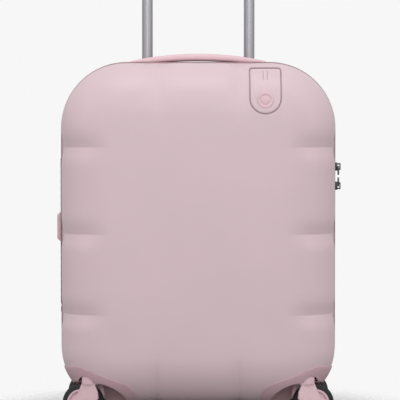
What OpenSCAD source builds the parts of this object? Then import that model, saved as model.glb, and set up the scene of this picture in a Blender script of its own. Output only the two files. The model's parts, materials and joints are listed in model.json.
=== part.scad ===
// Hard shell suitcase on four double casters, standing with its telescopic handle drawn out.
// The front faces -Y, the right side is +X, and the floor is z = 0.

/* [Case] */
// Width of the moulded shells
shell_w = 395; // [380:1:400]
// Height of the lowest point of the shells
shell_low = 28; // [26:1:32]
// Height of the highest point of the shells
shell_high = 518; // [510:1:530]
// Depth of each shell, from the zip to its face
shell_depth = 100; // [96:1:110]
// Wall thickness of the shells
shell_wall = 2.5; // [2:0.1:2.6]
// Radius of the two upper corners, seen from the front
top_corner_r = 94; // [85:1:100]
// Radius of the two lower corners, seen from the front
low_corner_r = 80; // [75:1:90]
// Radius of the roll from the sides into each face
edge_r = 60; // [50:1:62]
// Depth of the creases that divide the shells into cushions
crease_depth = 4.5; // [1:0.5:5]

/* [Zip] */
// Half width of the band that both zip tapes make together
zip_half = 12; // [10:1:14]
// How far the zip band stands out from the shells
zip_proud = 2.5; // [1.5:0.5:3]

/* [Casters] */
// Distance of the swivel axes from the middle, sideways
caster_x = 153; // [148:1:154]
// Distance of the swivel axes from the middle, front to back
caster_y = 70; // [68:1:72]
// Radius of the tyres
tyre_r = 29; // [27:1:29]
// Distance of the axle behind the swivel axis
caster_trail = 12.5; // [10:0.5:13]
// Angle that each caster is turned from straight sideways
caster_turn = 17; // [0:1:45]

/* [Telescopic handle] */
// Distance of the tubes from the middle
tube_x = 76; // [70:1:80]
// Distance of the tubes behind the zip
tube_y = 70; // [69:1:71]
// Travel of the middle tubes
middle_travel = 255; // [200:5:255]
// Travel of the inner tubes in the middle tubes
inner_travel = 250; // [200:5:250]

/* [Hidden] */
$fn = 48;

half_w = shell_w / 2;
// Straight side wall between the zip and the roll into the face
roll_y = shell_depth - edge_r;
crease_start_y = zip_half + 8;
crease_half = 10;
crease_heights = [158, 273, 397];
crease_x = 59;
corner_steps = 8;
roll_step = 15;
slit = 0.3;

// Zip
tooth_half = 1.5;
tooth_gap = 0.15;

// Casters: heights above the floor and radii
axle_z = tyre_r;
axle_r = 3;
hub_r = 21.5;
wheel_in = 1;
wheel_out = 11;
recess_r = 52;
recess_round = 40;
recess_top = 62;
cup_wall = 2;
crown_r = 18;
crown_back = 9;
crown_low = 58.6;
crown_high = 74;
skirt_high = 60.6;
pocket_r = 19.5;
pocket_top = 75.5;
pin_r = 4;
pin_top = 92;
boss_r = 9;
boss_top = 94;
bearing_low = pocket_top + cup_wall;
neck_r = 6;
running_gap = 0.05;
arm_in = 11.8;
arm_out = 15.5;
arm_boss_r = 9;
guard_proud = 1.5;

// Telescopic handle: heights at full reach
outer_r = 9.5;
middle_r = 8;
inner_r = 6.5;
tube_wall = 1.2;
outer_low = 60;
outer_high = 474;
middle_low = 322;
middle_high = 732;
inner_low = 578;
grip_low = 984;
grip_h = 22;
grip_half = 92;
grip_depth = 20;
grip_cavity_low = 990;
rod_low = 594;
rod_r = 2;

// Carrying handles
tray_y = 27;
tray_half_x = 108;
tray_half_y = 11.5;
tray_low = shell_high - 17;
tray_high = shell_high + 0.4;
top_handle_half = 102;
top_post_x = 88;
post_r = 5;
side_z = 279;
side_cup_half_z = 58;
side_cup_in = 178;
side_cup_out = 198.2;
side_post_z = 46;

// Lock, on the right wall of the rear shell
lock_y = 26.5;
lock_low = 316;
lock_high = 388;
catch_bay = [354, 370];
key_z = 379;
lock_in = 186;
lock_out = 200.8;
dial_r = 7;
dial_w = 5.4;
dial_pitch = 7.4;
dial_x = 195.3;
dial_first_z = 330.6;

// Zip sliders, just outside the zip band
slider_x = half_w + zip_proud + 0.4;
slider_z = [368, 340];
slider_h = 8;

// Luggage tag, on the upper right of the front
tag_x = 95.4;
tag_half = 21;
tag_round_z = 467;
tag_high = 509;
badge_z = 464;

CASTERS = [
    [-caster_x, -caster_y, 180 - caster_turn],
    [caster_x, -caster_y, caster_turn],
    [-caster_x, caster_y, 180 + caster_turn],
    [caster_x, caster_y, -caster_turn],
];

// ---- Outline of the case ------------------------------------------------

function arc(cx, cz, r, from, to) =
    [for (i = [0:corner_steps]) let (a = from + (to - from) * i / corner_steps)
        [cx + r * cos(a), cz + r * sin(a), 0]];

// The creased wall on one side (s = 1 right, going up; s = -1 left, going down).
function side_run(s, inset, dent) =
    [for (i = [0:2]) let (z = crease_heights[s > 0 ? i : 2 - i]) for (k = [-1:1])
        [s * (half_w - inset - (k == 0 ? dent : 0)), z + s * k * crease_half, k == 0 ? 1 : 0]];

// The creased wall at the top (s = 1, going left) or at the bottom (s = -1, going right).
function cap_run(s, inset, dent) =
    let (edge = s > 0 ? shell_high - inset : shell_low + inset)
    [for (x = [s * crease_x, -s * crease_x]) for (k = [-1:1])
        [x - s * k * crease_half, edge - (k == 0 ? s * dent : 0), k == 0 ? 1 : 0]];

// One closed ring [x, z, on a crease], set in from the outline of the shells.
function outline(inset, dent = 0) =
    let (tx = half_w - top_corner_r, tz = shell_high - top_corner_r,
         bx = half_w - low_corner_r, bz = shell_low + low_corner_r)
    concat(
        side_run(1, inset, dent), arc(tx, tz, top_corner_r - inset, 0, 90),
        cap_run(1, inset, dent), arc(-tx, tz, top_corner_r - inset, 90, 180),
        side_run(-1, inset, dent), arc(-bx, bz, low_corner_r - inset, 180, 270),
        cap_run(-1, inset, dent), arc(bx, bz, low_corner_r - inset, 270, 360));

function ring(inset, dent, y, tilt) =
    [for (p = outline(inset, dent * cos(tilt))) [p[0], y + p[2] * dent * sin(tilt), p[1]]];

// Rings of a shell surface from the zip to the face; grow moves it outward.
function wall_rings(grow, depth = shell_depth, roll = edge_r, dent = crease_depth) =
    concat(
        [ring(-grow, 0, -zip_half, 0), ring(-grow, dent, -min(crease_start_y, depth - roll - 1), 0)],
        [for (a = [0:roll_step:90])
            ring(roll - (roll + grow) * cos(a), dent * cos(a), roll - depth - (roll + grow) * sin(a), a)]);

function reversed(list) = [for (i = [len(list) - 1:-1:0]) list[i]];

// A closed solid through rings that all have the same number of points.
module loft(rings) {
    n = len(rings[0]);
    m = len(rings);
    polyhedron(
        points = [for (r = rings) each r],
        faces = concat(
            [[for (j = [0:n - 1]) j]],
            [[for (j = [n - 1:-1:0]) (m - 1) * n + j]],
            [for (i = [0:m - 2]) for (j = [0:n - 1]) for (t = [0:1])
                let (a = i * n + j, b = i * n + (j + 1) % n)
                t == 0 ? [a, a + n, b + n] : [a, b + n, b]]),
        convexity = 6);
}

// The space that the front shell fills, grown outward.
module front_form(grow) loft(wall_rings(grow));

module front_tub(outer, inner, depth = shell_depth, roll = edge_r, dent = crease_depth)
    loft(concat(reversed(wall_rings(inner, depth, roll, dent)), wall_rings(outer, depth, roll, dent)));

// A flat ring that follows the outline, between two insets and two values of y.
module band(outer, inner, y_from, y_to)
    translate([0, y_to, 0]) rotate([90, 0, 0]) linear_extrude(y_to - y_from, convexity = 4)
        difference() {
            polygon([for (p = outline(outer)) [p[0], p[1]]]);
            polygon([for (p = outline(inner)) [p[0], p[1]]]);
        }

// Keeps a shape that no bore or pin depends on as one mesh, at its own size.
module meshed() resize([0, 0, 0]) union() children();

// A box given by its lowest and highest corners.
module block(low, high) translate(low) cube(high - low);

module to_rear() mirror([0, 1, 0]) children();

// ---- Wheel housings -----------------------------------------------------

// Wheel recess about a swivel axis, grown outward; it is open below.
module recess(grow) {
    r = recess_r + grow;
    round_r = recess_round + grow;
    top = recess_top + grow;
    rotate_extrude($fn = 40) union() {
        square([r, top - round_r]);
        square([r - round_r, top]);
        translate([r - round_r, top - round_r]) intersection() {
            circle(round_r, $fn = 24);
            square(round_r);
        }
    }
    cylinder(r = pocket_r + grow, h = pocket_top + grow, $fn = 32);
}

module guard_outline()
    hull() {
        translate([-174, 63.5]) circle(20, $fn = 32);
        translate([-113, 38]) circle(22, $fn = 32);
        translate([-220, 0]) square([129, 20]);
        translate([-220, 50]) square([10, 26]);
    }

module guard_form()
    translate([0, -zip_half - 6, 0]) rotate([90, 0, 0]) linear_extrude(shell_depth) guard_outline();

// Corner guard with its wheel housing, for the front left corner.
module front_left_guard() meshed() difference() {
    union() {
        intersection() {
            difference() {
                front_form(guard_proud);
                front_form(0);
            }
            guard_form();
        }
        intersection() {
            front_form(guard_proud);
            translate([-caster_x, -caster_y, 0]) recess(cup_wall);
        }
    }
    translate([-caster_x, -caster_y, 0]) {
        recess(0);
        cylinder(r = neck_r + 0.2, h = boss_top);
    }
}

// Bush that a caster's pin turns in, on top of its wheel housing.
module bearing(x, y) translate([x, y, 0]) difference() {
    union() {
        translate([0, 0, bearing_low]) cylinder(r = boss_r, h = boss_top - bearing_low);
        translate([0, 0, pocket_top]) cylinder(r = neck_r, h = cup_wall + 1);
    }
    cylinder(r = pin_r + running_gap, h = boss_top + 1);
}

module swivel_bearings_front() color("#c9c2b8") for (s = [-1, 1]) bearing(s * caster_x, -caster_y);

module swivel_bearings_rear() color("#c9c2b8") for (s = [-1, 1]) bearing(s * caster_x, caster_y);

// Room for a wheel housing in the shell and the lining.
module housing_room(clear)
    for (s = [-1, 1]) translate([s * caster_x, -caster_y, 0]) {
        recess(cup_wall + clear);
        cylinder(r = boss_r + clear, h = boss_top + clear);
    }

// ---- Shells and their fabric --------------------------------------------

module tag_outline(grow) {
    translate([tag_x, tag_round_z]) circle(tag_half + grow, $fn = 64);
    translate([tag_x - tag_half - grow, tag_round_z])
        square([2 * (tag_half + grow), tag_high - tag_round_z + grow]);
}

module tag_form(grow)
    translate([0, -50, 0]) rotate([90, 0, 0]) linear_extrude(shell_depth) tag_outline(grow);

// The rolled upper edge of the front as a plain roll, grown outward, where the tag lies.
module roll_form(grow) {
    translate([40, -roll_y, shell_high - edge_r]) rotate([0, 90, 0])
        cylinder(r = edge_r + grow, h = 120, $fn = 96);
    block([40, -shell_depth - grow, 300], [160, -roll_y, shell_high - edge_r]);
}

module front_shell() color("#d9a3a8") meshed() difference() {
    front_tub(0, -shell_wall);
    housing_room(slit);
    tag_form(2.4);
}

module rear_shell() color("#d9a3a8") meshed() difference() {
    to_rear() front_tub(0, -shell_wall);
    to_rear() housing_room(slit);
    bezel_block(slit);
    tray_block(slit);
    side_cup_block(slit);
    lock_block(slit);
}

// The linings are sewn to the inner edge of the zip tapes.
lining_in = 8;

module zip_tape(y_from, y_to) color("#caa0a2") band(-zip_proud, lining_in, y_from, y_to);

module front_zip_tape() zip_tape(-zip_half, -tooth_half);

module rear_zip_tape() zip_tape(tooth_half, zip_half);

module zip_teeth(y_from, y_to) color("#8f7478") band(-1, shell_wall, y_from, y_to);

module front_zip_teeth() zip_teeth(-tooth_half, -tooth_gap);

module rear_zip_teeth() zip_teeth(tooth_gap, tooth_half);

// Woven hinge on the left edge, drawn on the side of the rear shell.
module hinge_web() color("#7c4f55")
    block([-half_w - zip_proud - 1.2, slit, 168], [-half_w - zip_proud - slit, 10, 380]);

module zip_end_stop() color("#2c2a2c")
    block([-half_w - zip_proud - 1.4, 2, 155], [-half_w - zip_proud - slit, 9, 163]);

lining_depth = 56;
lining_roll = 40;

module front_lining() color("#b9a6a6") meshed() difference() {
    front_tub(1 - lining_in, -lining_in, dent = 0);
    housing_room(0.5);
}

module rear_lining() color("#b9a6a6") meshed() difference() {
    to_rear() front_tub(1 - lining_in, -lining_in, lining_depth, lining_roll, 0);
    to_rear() housing_room(0.5);
    tray_block(0.5);
    side_cup_block(0.5);
    lock_block(0.5);
}

// Crossed webbing that holds the clothes down, with one buckle.
strap_y = lining_depth - lining_in - 0.2;
strap_z = 273;

module packing_straps() color("#8b6f73") difference() {
    for (s = [-1, 1]) translate([0, strap_y, strap_z]) rotate([0, s * 38, 0])
        translate([-180, -1.2, -12.5]) cube([360, 1.2, 25]);
    block([-31, strap_y - 5, strap_z - 21], [31, strap_y + 5, strap_z + 21]);
}

module strap_buckle() color("#3a3436")
    translate([0, strap_y, strap_z]) rotate([90, 0, 0]) linear_extrude(6) difference() {
        square([60, 40], center = true);
        for (s = [-1, 1]) translate([s * 22, 0]) square([6, 28], center = true);
    }

module back_skids() color("#a8787e") for (s = [-1, 1])
    translate([s * 120, shell_depth, 0]) rotate([-90, 0, 0]) linear_extrude(guard_proud)
        translate([0, -strap_z]) square([10, 240], center = true);

// ---- Corner guards ------------------------------------------------------

module front_guard_left() color("#d28f97") front_left_guard();

module front_guard_right() color("#d28f97") mirror([1, 0, 0]) front_left_guard();

module rear_guard_left() color("#d28f97") to_rear() front_left_guard();

module rear_guard_right() color("#d28f97") to_rear() mirror([1, 0, 0]) front_left_guard();

// ---- Telescopic handle --------------------------------------------------

module tube_pair(outer, inner, low, high)
    for (s = [-1, 1]) translate([s * tube_x, tube_y, low]) difference() {
        cylinder(r = outer, h = high - low);
        translate([0, 0, -1]) cylinder(r = inner, h = high - low + 2);
    }

module outer_tubes() color("#9a9a9e") tube_pair(outer_r, outer_r - tube_wall, outer_low, outer_high);

module middle_tubes() color("#c4c4c8") tube_pair(middle_r, middle_r - tube_wall, middle_low, middle_high);

module inner_tubes() color("#d4d4d8") tube_pair(inner_r, inner_r - 1, inner_low, grip_cavity_low);

foot_low = 54;

// Blocks that hold the lower ends of the fixed tubes.
module tube_feet() color("#4a4446") for (s = [-1, 1]) difference() {
    translate([s * tube_x, tube_y, 0]) block([-13, -13, foot_low], [13, 13, foot_low + 18]);
    translate([s * tube_x, tube_y, outer_low]) cylinder(r = outer_r, h = 30);
}

bezel_half_x = 99;
bezel_y = [54, 86];
bezel_wall = 2.5;
bezel_floor = 2;

module bezel_block(clear)
    block([-bezel_half_x - clear, bezel_y[0] - clear, outer_high - clear],
          [bezel_half_x + clear, bezel_y[1] + clear, 600]);

// Cup that the grip sinks into, with a hole for each tube.
module handle_bezel() color("#7d4a51") difference() {
    meshed() intersection() {
        bezel_block(0);
        to_rear() front_form(1.2);
    }
    block([-bezel_half_x + bezel_wall, bezel_y[0] + bezel_wall, outer_high + bezel_floor],
          [bezel_half_x - bezel_wall, bezel_y[1] - bezel_wall, 600]);
    for (s = [-1, 1]) translate([s * tube_x, tube_y, outer_high - 10]) cylinder(r = middle_r + 0.4, h = 30);
}

// Bar along X with fully rounded long edges, from its lowest corner height.
module round_bar(half_x, depth, low, h, r)
    translate([-half_x, tube_y, low]) rotate([90, 0, 90]) linear_extrude(2 * half_x) union() {
        translate([-depth / 2, r]) square([depth, h - 2 * r]);
        translate([-depth / 2 + r, 0]) square([depth - 2 * r, h]);
        for (y = [-1, 1]) for (z = [r, h - r]) translate([y * (depth / 2 - r), z]) circle(r);
    }

button_half = 20;
button_depth = 12;
cavity_half = 82.5;

module pull_grip() color("#5b5458") difference() {
    round_bar(grip_half, grip_depth, grip_low, grip_h, 6);
    block([-cavity_half, tube_y - 5, grip_cavity_low], [cavity_half, tube_y + 5, grip_low + grip_h - 7]);
    block([-button_half - 0.3, tube_y - button_depth / 2 - 0.3, grip_cavity_low + 4],
          [button_half + 0.3, tube_y + button_depth / 2 + 0.3, grip_low + grip_h + 1]);
    for (s = [-1, 1]) translate([s * tube_x, tube_y, grip_low - 1]) cylinder(r = inner_r, h = 8);
}

module grip_button() color("#c98a92")
    block([-button_half, tube_y - button_depth / 2, grip_low + grip_h - 7.6],
          [button_half, tube_y + button_depth / 2, grip_low + grip_h + 2]);

// Crossbar under the button, with a rod down each inner tube.
module release_rods() color("#b0b0b4") {
    block([-cavity_half + 2, tube_y - 3, grip_low + grip_h - 11],
          [cavity_half - 2, tube_y + 3, grip_low + grip_h - 7.6]);
    for (s = [-1, 1]) translate([s * tube_x, tube_y, rod_low])
        cylinder(r = rod_r, h = grip_low + grip_h - 10 - rod_low);
}

// ---- Carrying handles ---------------------------------------------------

module tray_block(clear)
    block([-tray_half_x - clear, tray_y - tray_half_y - clear, tray_low - clear],
          [tray_half_x + clear, tray_y + tray_half_y + clear, 600]);

module handle_tray() color("#7d4a51") difference() {
    block([-tray_half_x, tray_y - tray_half_y, tray_low], [tray_half_x, tray_y + tray_half_y, tray_high]);
    block([-64, tray_y - 9.5, tray_low + 2.5], [64, tray_y + 9.5, 600]);
    for (s = [-1, 1]) translate([s * top_post_x, tray_y, 0]) {
        cylinder(r = post_r + slit, h = 600);
        cylinder(r = 9, h = tray_high - 4);
    }
}

// Side outline of the arched grip, seen from the front.
function arch_top(x) = shell_high + 4.6 + 11.2 * (1 - pow(x / top_handle_half, 2));
function arch_under(x) = shell_high + 0.7 + 3.8 * max(0, 1 - pow(x / 72, 2));

module top_handle() color("#cf949b") {
    steps = 16;
    xs = [for (i = [-steps:steps]) top_handle_half * i / steps];
    translate([0, tray_y + 10.5, 0]) rotate([90, 0, 0]) linear_extrude(21)
        polygon(concat([for (x = xs) [x, arch_top(x)]], [for (x = reversed(xs)) [x, arch_under(x)]]));
    for (s = [-1, 1]) translate([s * top_post_x, tray_y, tray_low]) {
        cylinder(r = post_r, h = 18.5);
        cylinder(r = 8, h = 1.2);
    }
}

module side_cup_block(clear)
    block([-600, lock_y - tray_half_y - clear, side_z - side_cup_half_z - clear],
          [-side_cup_in + clear, lock_y + tray_half_y + clear, side_z + side_cup_half_z + clear]);

module side_handle_cup() color("#7d4a51") difference() {
    block([-side_cup_out, lock_y - tray_half_y, side_z - side_cup_half_z],
          [-side_cup_in, lock_y + tray_half_y, side_z + side_cup_half_z]);
    block([-600, lock_y - 9.5, side_z - 36], [-side_cup_in - 2.5, lock_y + 9.5, side_z + 36]);
    for (s = [-1, 1]) translate([0, lock_y, side_z + s * side_post_z]) rotate([0, -90, 0]) {
        cylinder(r = 4 + slit, h = 300);
        cylinder(r = 7, h = side_cup_out - 4);
    }
}

// Bar on the left side, with a proud pad in its middle.
module side_handle() color("#cf949b") {
    bar_in = side_cup_out + slit;
    block([-bar_in - 4, lock_y - 8.5, side_z - 54], [-bar_in, lock_y + 8.5, side_z + 54]);
    translate([-slider_x - slider_h, lock_y, side_z]) rotate([0, 90, 0]) linear_extrude(6.4)
        hull() for (y = [-1, 1]) for (z = [-1, 1]) translate([z * 15.5, y * 3]) circle(5, $fn = 32);
    for (s = [-1, 1]) translate([-bar_in - 1, lock_y, side_z + s * side_post_z]) rotate([0, 90, 0]) {
        cylinder(r = 4, h = bar_in + 1 - side_cup_in - 2);
        translate([0, 0, bar_in - side_cup_in - 2]) cylinder(r = 6, h = 1);
    }
}

// ---- Lock ---------------------------------------------------------------

module lock_block(clear)
    block([lock_in - clear, lock_y - 12 - clear, lock_low - clear],
          [600, lock_y + 12 + clear, lock_high + clear]);

// Body with a bay for the dials, their shaft, a slide channel and a keyhole.
module lock_body() color("#b9858b") {
    difference() {
        block([lock_in, lock_y - 12, lock_low], [lock_out, lock_y + 12, lock_high]);
        block([lock_in + 1.5, lock_y - dial_r - 0.6, dial_first_z - dial_w / 2 - 1.2],
              [600, lock_y + dial_r + 0.6, dial_first_z + 2 * dial_pitch + dial_w / 2 + 1.2]);
        block([lock_out - 4, lock_y - 5, catch_bay[0]], [600, lock_y + 5, catch_bay[1]]);
        translate([lock_out - 3, lock_y, key_z]) rotate([0, 90, 0]) cylinder(r = 3.5, h = 10);
    }
    translate([dial_x, lock_y, dial_first_z - dial_w]) cylinder(r = 1.5, h = 2 * dial_pitch + 2 * dial_w);
    translate([lock_out - 3, lock_y, key_z]) rotate([0, 90, 0]) difference() {
        cylinder(r = 2.6, h = 2.4);
        translate([-2, -0.4, 1]) cube([4, 0.8, 5]);
    }
}

// A wheel with ten flats, on the lock's shaft.
module lock_dial(index) color("#e4dcdc")
    translate([dial_x, lock_y, dial_first_z + index * dial_pitch - dial_w / 2]) difference() {
        cylinder(r = dial_r, h = dial_w);
        translate([0, 0, -1]) cylinder(r = 1.5 + running_gap, h = dial_w + 2);
        for (k = [0:9]) rotate([0, 0, 36 * k]) translate([dial_r + 0.5, 0, -1])
            cylinder(r = 1, h = dial_w + 2, $fn = 16);
    }

module lock_dial_1() lock_dial(0);

module lock_dial_2() lock_dial(1);

module lock_dial_3() lock_dial(2);

// Sliding catch that frees both zip pullers.
module lock_release() color("#8f8a8c") {
    low = catch_bay[0] + 0.5;
    block([lock_out - 3.6, lock_y - 4.6, low], [lock_out - 0.4, lock_y + 4.6, low + 10]);
    for (k = [0:2]) translate([0, 0, low + 1.5 + 3 * k])
        block([lock_out - 1, lock_y - 4.6, 0], [lock_out + 1.2, lock_y + 4.6, 1.4]);
}

// ---- Zip sliders --------------------------------------------------------

bridge_x = 5;

// Slider about its own centre: base plate and the bridge that the puller hangs in.
module zip_slider() color("#4b484c") {
    block([0, -6, -6], [3, 6, 6]);
    difference() {
        block([2, -2, -5], [slider_h, 2, 5]);
        block([3, -3, -2.8], [6.4, 3, 2.8]);
    }
}

// Puller that hangs down from the bridge: a bar through it, two side arms and a tab.
module zip_puller() color("#4b484c") {
    translate([bridge_x - 0.3, 4, 0]) rotate([90, 0, 0]) cylinder(r = 1, h = 8);
    for (s = [-1, 1]) translate([0, s * 3.2, 0]) block([bridge_x - 1.3, -0.8, -8], [bridge_x + 0.7, 0.8, 1]);
    block([bridge_x - 1.3, -4, -12], [bridge_x + 0.7, 4, -7]);
}

module upper_zip_slider() translate([slider_x, 0, slider_z[0]]) zip_slider();

module upper_zip_puller() translate([slider_x, 0, slider_z[0]]) zip_puller();

module lower_zip_slider() translate([slider_x, 0, slider_z[1]]) zip_slider();

module lower_zip_puller() translate([slider_x, 0, slider_z[1]]) mirror([0, 0, 1]) zip_puller();

// ---- Luggage tag --------------------------------------------------------

module tag_tray() color("#5e343b") meshed() difference() {
    intersection() {
        roll_form(0.3);
        tag_form(2.2);
    }
    difference() {
        tag_form(1.2);
        roll_form(-1.9);
    }
    roll_form(-2.9);
}

module tag_layer(outer, inner, grow) meshed() intersection() {
    difference() {
        roll_form(outer);
        roll_form(inner);
    }
    tag_form(grow);
}

module address_card() color("white") tag_layer(-1.3, -1.8, -2);

module tag_flap() color("#d9a3a8") tag_layer(0.5, -0.9, 0);

module tag_badge() color("#cf8f97")
    translate([tag_x, -shell_depth - 0.5, badge_z]) rotate([90, 0, 0]) difference() {
        cylinder(r = 11.4, h = 1);
        translate([0, 0, 0.6]) difference() {
            cylinder(r = 8, h = 1);
            translate([0, 0, -1]) cylinder(r = 6, h = 3);
        }
    }

// ---- Casters ------------------------------------------------------------

// Places its children about a swivel axis, trailing along their own +X.
module at_caster(c) translate([c[0], c[1], 0]) rotate([0, 0, c[2]]) children();

// Point where a line from p meets a circle; side is 1 or -1.
function touch(p, c, r, side) =
    let (d = c - p, reach = norm(d), len_t = sqrt(reach * reach - r * r),
         a = atan2(d[1], d[0]) + side * asin(r / reach))
    p + len_t * [cos(a), sin(a)];

module fork_side() {
    hub = [caster_trail, axle_z];
    lead = [-15, 38];
    trail = [crown_back, skirt_high];
    polygon([[-9, skirt_high], [-14, 48], lead, touch(lead, hub, arm_boss_r, -1), hub,
             touch(trail, hub, arm_boss_r, 1), trail]);
    translate(hub) circle(arm_boss_r);
}

module fork(c) color("#d28f97") at_caster(c) difference() {
    union() {
        difference() {
            translate([0, 0, crown_low]) cylinder(r = crown_r, h = crown_high - crown_low);
            block([crown_back, -crown_r, 0], [crown_r, crown_r, pin_top]);
        }
        translate([0, 0, crown_high - 1]) cylinder(r = pin_r, h = pin_top - crown_high + 1);
        for (y = [arm_out, -arm_in]) translate([0, y, 0]) rotate([90, 0, 0])
            linear_extrude(arm_out - arm_in) fork_side();
    }
    translate([caster_trail, 20, axle_z]) rotate([90, 0, 0]) cylinder(r = axle_r, h = 40);
}

module axle(c) color("#b0b0b4") at_caster(c) translate([caster_trail, 0, axle_z]) rotate([90, 0, 0]) {
    cylinder(r = axle_r, h = 2 * arm_out, center = true);
    for (s = [-1, 1]) translate([0, 0, s * (arm_out + 0.5)]) cylinder(r = 4.5, h = 1, center = true);
}

// Twin wheels on one sleeve, each with a dished outer face.
module hubs(c) color("#cf949b") at_caster(c) translate([caster_trail, 0, axle_z]) rotate([90, 0, 0])
    difference() {
        union() {
            cylinder(r = 7, h = 2 * wheel_in + 2, center = true);
            for (s = [-1, 1]) translate([0, 0, s * (wheel_in + wheel_out) / 2])
                cylinder(r = hub_r, h = wheel_out - wheel_in, center = true);
        }
        cylinder(r = axle_r + running_gap, h = 40, center = true);
        for (s = [-1, 1]) translate([0, 0, s * wheel_out]) difference() {
            cylinder(r = 18.5, h = 5, center = true);
            cylinder(r = 8, h = 6, center = true);
        }
    }

module tyre_section() {
    r = 3;
    w = (wheel_out - wheel_in) / 2;
    translate([hub_r, -w]) square([tyre_r - r - hub_r, 2 * w]);
    translate([hub_r, -w + r]) square([tyre_r - hub_r, 2 * (w - r)]);
    for (s = [-1, 1]) translate([tyre_r - r, s * (w - r)]) circle(r, $fn = 32);
}

module tyres(c) color("#2a2829") at_caster(c) translate([caster_trail, 0, axle_z]) rotate([90, 0, 0])
    for (s = [-1, 1]) translate([0, 0, s * (wheel_in + wheel_out) / 2])
        rotate_extrude($fn = 64) tyre_section();

module fork_front_left() fork(CASTERS[0]);
module axle_front_left() axle(CASTERS[0]);
module hubs_front_left() hubs(CASTERS[0]);
module tyres_front_left() tyres(CASTERS[0]);

module fork_front_right() fork(CASTERS[1]);
module axle_front_right() axle(CASTERS[1]);
module hubs_front_right() hubs(CASTERS[1]);
module tyres_front_right() tyres(CASTERS[1]);

module fork_rear_left() fork(CASTERS[2]);
module axle_rear_left() axle(CASTERS[2]);
module hubs_rear_left() hubs(CASTERS[2]);
module tyres_rear_left() tyres(CASTERS[2]);

module fork_rear_right() fork(CASTERS[3]);
module axle_rear_right() axle(CASTERS[3]);
module hubs_rear_right() hubs(CASTERS[3]);
module tyres_rear_right() tyres(CASTERS[3]);

rear_shell();
rear_zip_tape();
rear_zip_teeth();
hinge_web();
rear_lining();
packing_straps();
strap_buckle();
rear_guard_left();
rear_guard_right();
swivel_bearings_rear();
handle_bezel();
outer_tubes();
tube_feet();
handle_tray();
side_handle_cup();
lock_body();
zip_end_stop();
back_skids();
front_shell();
front_zip_tape();
front_zip_teeth();
front_lining();
front_guard_left();
front_guard_right();
swivel_bearings_front();
tag_tray();
address_card();
tag_flap();
tag_badge();
middle_tubes();
inner_tubes();
pull_grip();
grip_button();
release_rods();
top_handle();
side_handle();
lock_dial_1();
lock_dial_2();
lock_dial_3();
lock_release();
upper_zip_slider();
upper_zip_puller();
lower_zip_slider();
lower_zip_puller();
fork_front_left();
axle_front_left();
hubs_front_left();
tyres_front_left();
fork_front_right();
axle_front_right();
hubs_front_right();
tyres_front_right();
fork_rear_left();
axle_rear_left();
hubs_rear_left();
tyres_rear_left();
fork_rear_right();
axle_rear_right();
hubs_rear_right();
tyres_rear_right();
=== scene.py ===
"""Hard shell suitcase on wheels: finished surfaces, cloth, fittings and light round the CAD frame."""
import json
import math

import bmesh
import bpy
from mathutils import Matrix, Vector, noise

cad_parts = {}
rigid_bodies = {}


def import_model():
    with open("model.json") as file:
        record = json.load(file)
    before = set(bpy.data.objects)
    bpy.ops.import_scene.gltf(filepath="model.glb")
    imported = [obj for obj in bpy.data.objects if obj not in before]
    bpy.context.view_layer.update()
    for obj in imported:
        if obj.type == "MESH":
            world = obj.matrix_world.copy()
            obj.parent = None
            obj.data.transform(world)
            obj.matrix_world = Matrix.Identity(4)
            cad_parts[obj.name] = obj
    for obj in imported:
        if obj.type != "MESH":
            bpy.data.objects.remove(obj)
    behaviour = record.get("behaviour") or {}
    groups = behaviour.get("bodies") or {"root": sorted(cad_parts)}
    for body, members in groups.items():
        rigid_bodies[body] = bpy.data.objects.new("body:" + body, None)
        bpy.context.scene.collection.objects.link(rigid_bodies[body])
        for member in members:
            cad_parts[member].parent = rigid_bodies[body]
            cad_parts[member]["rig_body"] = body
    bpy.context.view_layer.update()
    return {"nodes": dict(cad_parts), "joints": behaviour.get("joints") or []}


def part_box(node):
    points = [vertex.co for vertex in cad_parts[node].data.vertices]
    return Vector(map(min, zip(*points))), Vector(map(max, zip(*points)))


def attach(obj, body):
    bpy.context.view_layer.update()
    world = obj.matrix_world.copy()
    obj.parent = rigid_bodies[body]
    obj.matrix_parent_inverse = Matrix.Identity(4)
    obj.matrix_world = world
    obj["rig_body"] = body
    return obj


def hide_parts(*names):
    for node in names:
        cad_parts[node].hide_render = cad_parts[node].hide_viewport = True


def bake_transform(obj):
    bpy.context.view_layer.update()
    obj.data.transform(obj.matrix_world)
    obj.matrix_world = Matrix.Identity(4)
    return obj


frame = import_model()
nodes = frame["nodes"]

MM = 0.001
NEAR_AXIS = 0.02
BOX_FACES = ((0, 1, 3, 2), (4, 6, 7, 5), (0, 4, 5, 1), (2, 3, 7, 6), (0, 2, 6, 4), (1, 5, 7, 3))

# ---- Driving dimensions, in millimetres -----------------------------------

shell_low_corner, shell_high_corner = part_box("front_shell")
HALF_W = shell_high_corner.x / MM
LOW_Z = shell_low_corner.z / MM
HIGH_Z = shell_high_corner.z / MM
DEPTH = -shell_low_corner.y / MM
ZIP_HALF = -shell_high_corner.y / MM
ZIP_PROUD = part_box("front_zip_tape")[1].x / MM - HALF_W
WALL = 2.5
TOP_R = 94.0
LOW_R = 80.0
ROLL_R = 60.0
ROLL_REACH = 76.0
ROLL_POWER = 2.25
CREASE_Z = (158.0, 273.0, 397.0)
CREASE_X = (-59.0, 59.0)
CREASE_DEPTH = 4.6
CREASE_WIDTH = 17.0
CREASE_FADE = (5.0, 27.0)
CREASE_REACH = (30.0, 76.0)
CREASE_STEPS = (0, 0.6, 1.4, 2.6, 4.4, 7, 10.5, 15)
UNDER_SOFT = 9
NO_CREASE = 999
SAMPLE_STEP = 5.0
CORNER_STEPS = 26
CASTER_X = 153.0
CASTER_Y = 70.0
RECESS_R = 52.0
RECESS_ROUND = 40.0
RECESS_TOP = 62.0
POCKET_R = 19.5
POCKET_TOP = 75.5
GUARD_PROUD = 1.5
GUARD_LEAN = 67.3
GUARD_UPPER = (-174, 63.5, 20)
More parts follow.
